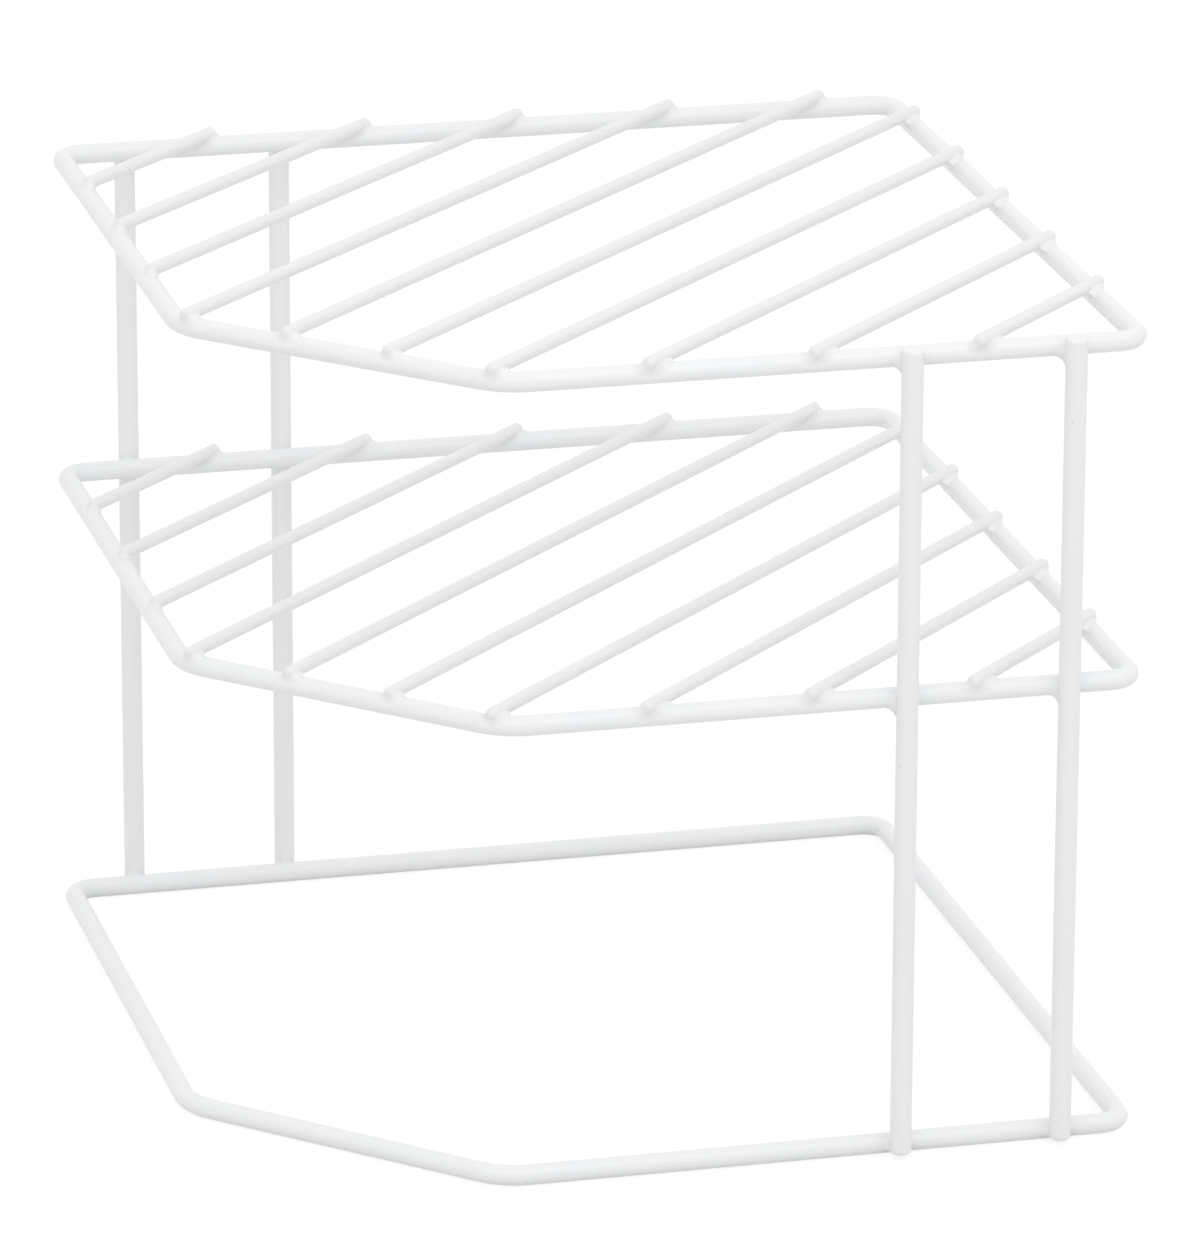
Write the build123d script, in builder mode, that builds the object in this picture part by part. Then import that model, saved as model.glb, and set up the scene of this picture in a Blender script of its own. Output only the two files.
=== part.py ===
from build123d import *
import os
from math import sqrt

# Three-tier corner rack of welded and coated steel wire.
# Each tier is a square loop with one corner cut off, bent from a heavy wire.
# Four uprights of a slightly thicker wire are welded to the outside of the loops, two at the back and two
# in front.
# The middle and the top loop carry ten thinner wires each, laid at 45 degrees, parallel to the line that
# runs from the cut corner to the wall corner.
# Millimetres, +Z up, origin on the table under the middle of the square, front side towards -Y.

# Plan of a loop, measured along the middle of its wire
side = 254.0
corner_cut = 74.0
square_bend = 7.0
cut_bend = 18.0

# Wire thicknesses over the coating
loop_wire = 5.7
post_wire = 6.1
cross_wire = 3.8

# Heights of the loops above the lowest one
middle_rise = 132.0
top_rise = 230.0

# Upright wires, the front pair a little higher: places along their side, from the nearest square corner
back_post_length = 233.6
front_post_length = 235.0
post_near = 20.5
post_far = 67.0
post_set_in = 0.8
front_foot_gap = 1.4
post_end_round = 1.2

# Cross wires: spacing, how deep the weld sinks them and how far they pass the middle of the loop's wire
wires_per_shelf = 10
wire_pitch = 32.9
wire_set_in = 1.1
wire_end_round = 1.4
past_left_side = 0.3
past_cut_side = 2.5
past_front_side = 3.6
past_wall_sides = 1.9

half = side / 2
bottom_level = loop_wire / 2
middle_level = bottom_level + middle_rise
top_level = bottom_level + top_rise
wire_lift = (loop_wire + cross_wire) / 2 - wire_set_in
post_offset = half + (loop_wire + post_wire) / 2 - post_set_in

# Corners in order: wall corner, back left, the two ends of the cut, front right
loop_corners = [
    (half, half),
    (-half, half),
    (-half, -half + corner_cut),
    (-half + corner_cut, -half),
    (half, -half),
]
loop_bends = [square_bend, square_bend, cut_bend, cut_bend, square_bend]


def bent_loop(level):
    """One closed loop of heavy wire with its five bends, lying flat at the given level."""
    with BuildPart() as loop:
        with BuildLine(Plane.XY.offset(level)) as middle_of_wire:
            FilletPolyline(*loop_corners, radius=loop_bends, close=True)
        start = middle_of_wire.wire()
        with BuildSketch(Plane(origin=start @ 0, z_dir=start % 0)):
            Circle(loop_wire / 2)
        sweep()
    return loop.part


def upright(x, y, foot, length, loops):
    """One straight post with rounded ends, hollowed where it is welded to each loop."""
    with BuildPart() as post:
        with BuildSketch(Plane.XY.offset(foot)):
            with Locations((x, y)):
                Circle(post_wire / 2)
        extrude(amount=length)
        fillet(post.edges().filter_by(GeomType.CIRCLE), radius=post_end_round)
        for loop in loops:
            add(loop, mode=Mode.SUBTRACT)
    return post.part


def wire_ends(offset):
    """Both ends of a cross wire in plan, for its distance from the line to the wall corner."""
    across = offset * sqrt(2)
    cut_reach = corner_cut / sqrt(2)
    if abs(offset) < cut_reach:
        x = (across - side + corner_cut) / 2
        passed = past_cut_side / sqrt(2)
        front = (x - passed, x - across - passed)
    elif offset < 0:
        front = (-half - past_left_side, -half - across - past_left_side)
    else:
        front = (-half + across - past_front_side, -half - past_front_side)
    reach = half + past_wall_sides
    back = (reach + min(across, 0), reach - max(across, 0))
    return front, back


def shelf_wire(offset, level, loop):
    """One cross wire with rounded ends, hollowed underneath where it is welded to its loop."""
    front, back = wire_ends(offset)
    height = level + wire_lift
    length = (back[0] - front[0]) * sqrt(2)
    with BuildPart() as wire:
        with BuildSketch(Plane(origin=(front[0], front[1], height), z_dir=(1, 1, 0))):
            Circle(cross_wire / 2)
        extrude(amount=length)
        fillet(wire.edges().filter_by(GeomType.CIRCLE), radius=wire_end_round)
        add(loop, mode=Mode.SUBTRACT)
    return wire.part


def save(piece, name):
    """Label a finished piece and write it as a file of the same name."""
    piece.label = name
    export_step(piece, f"parts/{name}.step")


os.makedirs("parts", exist_ok=True)

# The three bent loops
bottom_loop = bent_loop(bottom_level)
middle_loop = bent_loop(middle_level)
top_loop = bent_loop(top_level)
save(bottom_loop, "bottom_loop")
save(middle_loop, "middle_loop")
save(top_loop, "top_loop")

# The four uprights: the back pair stands by the left corner, the front pair by the right corner
all_loops = [bottom_loop, middle_loop, top_loop]
for x, name in ((-half + post_near, "back_left_post"), (-half + post_far, "back_inner_post")):
    save(upright(x, post_offset, 0, back_post_length, all_loops), name)
for x, name in ((half - post_far, "front_inner_post"), (half - post_near, "front_right_post")):
    save(upright(x, -post_offset, front_foot_gap, front_post_length, all_loops), name)

# The cross wires of the two shelves, numbered from the left
for number in range(wires_per_shelf):
    from_middle = (number - (wires_per_shelf - 1) / 2) * wire_pitch
    save(shelf_wire(from_middle, middle_level, middle_loop), f"middle_cross_wire_{number + 1:02d}")
    save(shelf_wire(from_middle, top_level, top_loop), f"top_cross_wire_{number + 1:02d}")
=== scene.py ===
import random
from math import cos, exp, pi, radians, sin, sqrt

import bpy
from mathutils import Matrix, Vector
from mathutils.bvhtree import BVHTree
from mathutils.interpolate import poly_3d_calc


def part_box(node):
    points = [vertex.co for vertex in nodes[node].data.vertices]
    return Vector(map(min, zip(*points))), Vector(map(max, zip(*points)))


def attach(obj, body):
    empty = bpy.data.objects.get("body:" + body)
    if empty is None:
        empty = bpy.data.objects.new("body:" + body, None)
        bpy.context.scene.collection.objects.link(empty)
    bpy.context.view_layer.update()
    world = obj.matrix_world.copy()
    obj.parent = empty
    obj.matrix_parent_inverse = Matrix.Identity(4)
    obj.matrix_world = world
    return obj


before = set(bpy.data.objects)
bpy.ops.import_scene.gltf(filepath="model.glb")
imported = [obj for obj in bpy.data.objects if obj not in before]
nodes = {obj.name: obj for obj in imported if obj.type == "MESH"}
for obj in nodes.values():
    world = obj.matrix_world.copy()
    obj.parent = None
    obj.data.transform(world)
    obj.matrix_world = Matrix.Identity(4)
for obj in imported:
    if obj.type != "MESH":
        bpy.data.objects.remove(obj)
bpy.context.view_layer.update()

# The three loops: heavy steel wire bent into a square with one corner cut off and closed end to end.
# The whole rack is dipped or powder coated after welding, so each wire wears a thick, satin, cool white skin
# that is a little uneven, with faint ripples, shinier and duller stretches and a few tiny specks.


class Tone:
    """A value in a material: arithmetic on it adds Math nodes, and add() makes any other node."""

    def __init__(self, tree, socket=None):
        self.tree, self.socket = tree, socket

    def add(self, kind, settings, values, output=0):
        node = self.tree.nodes.new("ShaderNode" + kind)
        for name, setting in settings.items():
            setattr(node, name, setting)
        for name, value in values.items():
            if isinstance(value, Tone):
                self.tree.links.new(value.socket, node.inputs[name])
            else:
                node.inputs[name].default_value = value
        return Tone(self.tree, node.outputs[output] if node.outputs else None)

    def beside(self, output):
        """Another output of the same node."""
        return Tone(self.tree, self.socket.node.outputs[output])

    def maths(self, operation, first, second):
        return self.add("Math", {"operation": operation}, {0: first, 1: second})

    def __add__(self, other):
        return self.maths("ADD", self, other)

    __radd__ = __add__

    def __mul__(self, other):
        return self.maths("MULTIPLY", self, other)

    __rmul__ = __mul__

    def __lt__(self, other):
        return self.maths("LESS_THAN", self, other)

    def __gt__(self, other):
        return self.maths("GREATER_THAN", self, other)


def clouds(place, wavelength, detail=2.0):
    """Soft random patches of about this size in metres, from 0 to 1."""
    return place.add("TexNoise", {}, {"Vector": place, "Scale": 1 / wavelength, "Detail": detail})


def blended(amount, first, second):
    """One colour fading into another."""
    return amount.add("Mix", {"data_type": "RGBA"}, {0: amount, 6: first, 7: second}, output=2)


def coating(name, cool, warm, dull=0.28, ripple=0.000015, speck_share=0.03):
    """The white skin over the steel: its two near-white tones, roughness, ripples and specks."""
    material = bpy.data.materials.new(name)
    material.use_nodes = True
    tree = material.node_tree
    tree.nodes.clear()
    place = Tone(tree).add("TexCoord", {}, {}, output="Object")
    patches = clouds(place, patch_size)
    tint = blended(patches, (*cool, 1), (*warm, 1))
    specks = place.add("TexVoronoi", {}, {"Vector": place, "Scale": 1 / speck_spacing}, output="Distance")
    chosen = place.add("TexWhiteNoise", {}, {"Vector": specks.beside("Position")}) > 1 - speck_share
    colour = blended((specks < speck_size) * chosen * speck_strength, tint, (*speck_tone, 1))
    gloss = clouds(place, gloss_patch_size) * gloss_range + dull
    waves = clouds(place, peel_size, plain) + clouds(place, ripple_size, plain) * ripple_share
    relief = place.add("Bump", {}, {"Strength": relief_strength, "Distance": ripple, "Height": waves})
    skin = place.add("BsdfPrincipled", {}, {
        "Base Color": colour, "Roughness": gloss, "Normal": relief, "IOR": coating_index})
    place.add("OutputMaterial", {}, {"Surface": skin})
    return material


def dress(names, material):
    """Gives CAD nodes their finish."""
    for name in names:
        nodes[name].data.materials.clear()
        nodes[name].data.materials.append(material)


patch_size = 0.045
gloss_patch_size = 0.012
gloss_range = 0.06
peel_size = 0.0016
ripple_size = 0.007
ripple_share = 2.5
plain = 1.0
relief_strength = 0.6
speck_spacing = 0.004
speck_size = 0.055
speck_strength = 0.5
speck_tone = (0.42, 0.40, 0.37)
coating_index = 1.5

loop_names = ["bottom_loop", "middle_loop", "top_loop"]
loop_coating = coating("loop_coating", cool=(0.84, 0.862, 0.888), warm=(0.87, 0.875, 0.875))
dress(loop_names, loop_coating)

# The four uprights: straight lengths of a slightly thicker wire, welded to the outside of the loops, two on
# the back side and two on the front. The same dip coats them and rounds over their cut ends.

post_names = ["back_left_post", "back_inner_post", "front_inner_post", "front_right_post"]
post_coating = coating("post_coating", cool=(0.85, 0.86, 0.88), warm=(0.87, 0.87, 0.865), speck_share=0.02)
dress(post_names, post_coating)

# The cross wires: ten thinner wires to a shelf, laid across the middle and the top loop and welded on top of
# them, their cut ends just past the loop. Being thin, they take the coating more evenly and look plainer.

shelf_names = ["middle", "top"]
wires_per_shelf = 10
cross_coating = coating("cross_wire_coating", cool=(0.824, 0.834, 0.84), warm=(0.843, 0.841, 0.828),
                        ripple=0.00001)
cross_wires = {shelf: [f"{shelf}_cross_wire_{number:02d}" for number in range(1, wires_per_shelf + 1)]
               for shelf in shelf_names}
for shelf in shelf_names:
    dress(cross_wires[shelf], cross_coating)

# The coating at the welds: where two wires meet, the wet coating is drawn into the crease round the weld
# and sets as a smooth web. It is the same skin, made by the dip, thicker on some joints than on others.

random.seed(11)
web_stride = 0.0003
web_faces = 8
fewest_strides, most_strides = 16, 400
settling_tries = 32
settling_step = 0.0006
crown_sharpness = 6
closing_share = 0.6
evenings = 4
fullness = 0.2
tuck_in = 0.0001


def measured(name):
    """A CAD node with a tree of its faces, to measure to."""
    mesh = nodes[name].data
    tree = BVHTree.FromPolygons([v.co for v in mesh.vertices], [p.vertices for p in mesh.polygons])
    return mesh, tree


def clearance(wire, point):
    """How far a point stands off a wire, negative inside it, and the direction straight away from it."""
    touch, facing, _, distance = wire[1].find_nearest(point)
    away = (point - touch) / distance
    return (distance, away) if away.dot(facing) > 0 else (-distance, -away)


def facing_at(wire, point):
    """The direction that a wire's rounded surface faces where it is nearest to a point."""
    mesh, tree = wire
    touch, _, nearest, _ = tree.find_nearest(point)
    face = mesh.polygons[nearest]
    shares = poly_3d_calc([mesh.vertices[corner].co for corner in face.vertices], touch)
    directions = [mesh.corner_normals[corner].vector for corner in face.loop_indices]
    return sum((share * direction for share, direction in zip(shares, directions)), Vector()).normalized()


def evened(rows):
    """Rows of vectors round a joint, each averaged with the rows beside it."""
    preceding, following = rows[-1:] + rows[:-1], rows[1:] + rows[:1]
    return [[(before + 2 * here + after) / 4 for before, here, after in zip(*three)]
            for three in zip(preceding, rows, following)]


def rolled_web(first, second, middle, start, size, lean, crown):
    """Rows of points and normals: what a ball leaves as it rolls round a joint and touches both wires.

    The ball swells to exp(length of lean) times its size on the side that lean points to, and grows by the
    length of crown where it passes the direction of crown.
    """
    points, facings = [], []
    centre = start
    while len(points) < most_strides:
        for _ in range(settling_tries):
            direction = (centre - middle).normalized()
            on_crown = max(0, crown.normalized().dot(direction)) ** crown_sharpness
            ball = size * exp(lean.dot(direction)) + crown.length * on_crown
            gap_a, away_a = clearance(first, centre)
            gap_b, away_b = clearance(second, centre)
            share = away_a.dot(away_b)
            press_a = (ball - gap_a - share * (ball - gap_b)) / (1 - share ** 2)
            press_b = (ball - gap_b - share * (ball - gap_a)) / (1 - share ** 2)
            move = press_a * away_a + press_b * away_b
            if move.length > settling_step:
                move = move * (settling_step / move.length)
            centre = centre + move
        if not points:
            start = centre
        elif len(points) > fewest_strides and (centre - start).length < web_stride * closing_share:
            break
        (gap_a, away_a), (gap_b, away_b) = clearance(first, centre), clearance(second, centre)
        facing_a, facing_b = facing_at(first, centre), facing_at(second, centre)
        touch_a, touch_b = centre - gap_a * away_a, centre - gap_b * away_b
        places, directions = [], []
        for part in (face / web_faces for face in range(web_faces + 1)):
            on_ball = centre - (gap_a + part * (gap_b - gap_a)) * away_a.slerp(away_b, part)
            places.append(on_ball.lerp(touch_a.lerp(touch_b, part), fullness))
            directions.append(facing_a.slerp(facing_b, part))
        points.append(places)
        facings.append(directions)
        centre = centre + web_stride * away_a.cross(away_b).normalized()
    for _ in range(evenings):
        points, facings = evened(points), evened(facings)
    for places, directions in zip(points, facings):
        for edge in (0, -1):
            places[edge] -= tuck_in * directions[edge]
    return list(zip(points, facings))


def weld_coating(name, joints, material):
    """All the webs on one loop as one piece."""
    points, normals, faces = [], [], []
    width = web_faces + 1
    for joint in joints:
        rows = rolled_web(*joint)
        start = len(points)
        for places, directions in rows:
            points += places
            normals += directions
        for row in range(len(rows)):
            near, far = start + row * width, start + (row + 1) % len(rows) * width
            for face in range(web_faces):
                faces.append([far + face, far + face + 1, near + face + 1, near + face])
    mesh = bpy.data.meshes.new(name)
    mesh.from_pydata(points, [], faces)
    mesh.shade_smooth()
    mesh.normals_split_custom_set_from_vertices(normals)
    mesh.materials.append(material)
    piece = bpy.data.objects.new(name, mesh)
    bpy.context.scene.collection.objects.link(piece)
    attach(piece, "root")


up = Vector((0, 0, 1))
across_shelf = Vector((1, -1, 0)).normalized()
along_wires = Vector((1, 1, 0)).normalized()
post_web_sizes = (0.0009, 0.0011)
post_web_leans = (1, 1.15)
post_web_drops = (-1.2, -0.7)
end_round = 0.0014
end_fills = {"top_loop": 0.004 * up, "bottom_loop": -0.002 * up}
crossing_step, crossing_steps = 0.0002, 40
cut_width = 0.072
end_web_spread = 0.08
# By side of the loop: the ball's size, and the strength and bearing of its lean
end_webs = {
    "left": (0.0025, 0.5, -135), "cut": (0.0016, 1.0, -95), "front": (0.0016, 1.25, -100),
    "back": (0.0014, 0.7, -30)}
wires = {name: measured(name) for name in nodes}
web_coating = coating("weld_coating", cool=(0.845, 0.86, 0.876), warm=(0.866, 0.868, 0.862), speck_share=0.06)


def radius_of(name):
    """Half the thickness of a straight or flat wire."""
    low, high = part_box(name)
    return min(high - low) / 2


def post_joint(loop, post):
    """Where an upright is welded to a loop: the coating sits thickest below the loop, left of the upright."""
    (loop_low, loop_high), (low, high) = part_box(loop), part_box(post)
    outward = Vector((0, 1 if low.y > 0 else -1, 0))
    loop_side = (loop_high.y if low.y > 0 else loop_low.y) - outward.y * radius_of(loop)
    middle = Vector(((low.x + high.x) / 2, (loop_side + (low.y + high.y) / 2) / 2,
                     (loop_low.z + loop_high.z) / 2))
    size = random.uniform(*post_web_sizes)
    lean = random.uniform(*post_web_leans) * Vector((-1, 0, random.uniform(*post_web_drops))).normalized()
    start = middle + (radius_of(post) + size) * Vector((1, 0, 0)) + size * outward
    return wires[loop], wires[post], middle, start, size, lean, end_fills.get(loop, Vector())


def wire_joints(loop, wire):
    """Where the two ends of a cross wire lie on a loop: each side of the loop has its own size and lean."""
    low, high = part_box(wire)
    radius = radius_of(wire)
    # How far past the middle of the wire's end its box reaches, along X and along Y alike
    box_past_end = end_round - (2 * end_round - radius) / sqrt(2)
    joints = []
    for corner, inward in ((low, along_wires), (high, -along_wires)):
        end = Vector((corner.x, corner.y, high.z - radius)) + box_past_end * sqrt(2) * inward
        crossing = min((end + step * crossing_step * inward for step in range(crossing_steps)),
                       key=lambda place: clearance(wires[loop], place)[0])
        middle = crossing + (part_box(loop)[1].z + low.z - 2 * crossing.z) / 2 * up
        open_side = across_shelf if middle.y > middle.x else -across_shelf
        across = crossing.x - crossing.y
        side = "left" if across < -cut_width else "front" if across > cut_width else "cut"
        if corner is high:
            side = "back"
        size, strength, bearing = end_webs[side]
        size *= random.uniform(1 - end_web_spread, 1 + end_web_spread)
        lean = strength * Vector((cos(radians(bearing)), sin(radians(bearing)), 0))
        start = middle + (radius + size) * open_side + size * up
        joints.append((wires[loop], wires[wire], middle, start, size, lean, Vector()))
    return joints


for loop in loop_names:
    joints = [post_joint(loop, post) for post in post_names]
    shelf = loop.split("_")[0]
    for wire in cross_wires.get(shelf, []):
        joints += wire_joints(loop, wire)
    weld_coating(f"{shelf}_weld_coating", joints, web_coating)

# The surroundings: a plain pale floor in a white studio. A long softbox high in front of the rack adds the
# bright line along the upper side of each wire, and the floor returns light to the undersides.

scene = bpy.context.scene
room_light = 0.92
floor_size = 4.0
floor_tone = (0.78, 0.78, 0.78, 1)
floor_whitening = 0.75
white_floor_glow = 1.12


def seen_directly(tree):
    """1 for rays that show the background, 0 for rays that light the rack."""
    path = Tone(tree).add("LightPath", {}, {}, output="Is Camera Ray")
    return path + path.beside("Is Glossy Ray") + path.beside("Is Transmission Ray") > 0.5


world = bpy.data.worlds.new("studio")
world.use_nodes = True
world.node_tree.nodes.clear()
seen = seen_directly(world.node_tree)
strength = seen * (1 - room_light) + room_light
sky = seen.add("Background", {}, {"Color": (1, 1, 1, 1), "Strength": strength})
seen.add("OutputWorld", {}, {"Surface": sky})
scene.world = world

floor_mesh = bpy.data.meshes.new("floor")
floor_mesh.from_pydata([(x * floor_size, y * floor_size, 0) for x, y in ((-1, -1), (1, -1), (1, 1), (-1, 1))],
                       [], [(0, 1, 2, 3)])
floor_material = bpy.data.materials.new("pale_floor")
floor_material.use_nodes = True
floor_material.node_tree.nodes.clear()
seen = seen_directly(floor_material.node_tree)
matt = seen.add("BsdfDiffuse", {}, {"Color": floor_tone})
glow = seen.add("Emission", {}, {"Color": (1, 1, 1, 1), "Strength": white_floor_glow})
both = seen.add("MixShader", {}, {0: seen * floor_whitening, 1: matt, 2: glow})
seen.add("OutputMaterial", {}, {"Surface": both})
floor_mesh.materials.append(floor_material)
floor = bpy.data.objects.new("floor", floor_mesh)
scene.collection.objects.link(floor)

softbox_width, softbox_depth = 1.8, 0.45
softbox_height = radians(50)
softbox_distance = 1.3
softbox_radiance = 1.14
lit_place = Vector((0, 0, 0.12))

lamp = bpy.data.lights.new("front_softbox", "AREA")
lamp.shape = "RECTANGLE"
lamp.size, lamp.size_y = softbox_width, softbox_depth
lamp.energy = softbox_radiance * pi * softbox_width * softbox_depth
softbox = bpy.data.objects.new("front_softbox", lamp)
toward_softbox = Vector((0, -cos(softbox_height), sin(softbox_height)))
softbox.location = lit_place + softbox_distance * toward_softbox
softbox.rotation_mode = "QUATERNION"
softbox.rotation_quaternion = (-toward_softbox).to_track_quat("-Z", "Y")
scene.collection.objects.link(softbox)

# The camera: level with a person looking slightly down at a cupboard shelf, far enough away for a long lens.
# Its place, turn and lens repeat those of the photograph.

turn_to_left = radians(14.038)
look_down = radians(18.513)
roll = radians(0.218)
distance = 2.2253
looked_at = Vector((-0.05465, -0.24163, 0.20239))
picture_width, picture_height = 1200, 1246
focal_pixels = 8631
sensor = 36.0
nearest, farthest = 0.1, 50

back = Vector((-sin(turn_to_left) * cos(look_down), -cos(turn_to_left) * cos(look_down), sin(look_down)))
level_right = Vector((-back.y, back.x, 0)).normalized()
level_up = back.cross(level_right)
right = cos(roll) * level_right + sin(roll) * level_up
upward = cos(roll) * level_up - sin(roll) * level_right
camera_data = bpy.data.cameras.new("camera")
camera_data.sensor_width = sensor
camera_data.lens = focal_pixels / max(picture_width, picture_height) * sensor
camera_data.clip_start, camera_data.clip_end = nearest, farthest
camera = bpy.data.objects.new("camera", camera_data)
turned = Matrix((right, upward, back)).transposed().to_4x4()
camera.matrix_world = Matrix.Translation(looked_at + back * distance) @ turned
scene.collection.objects.link(camera)
scene.camera = camera
scene.view_settings.view_transform = "Standard"
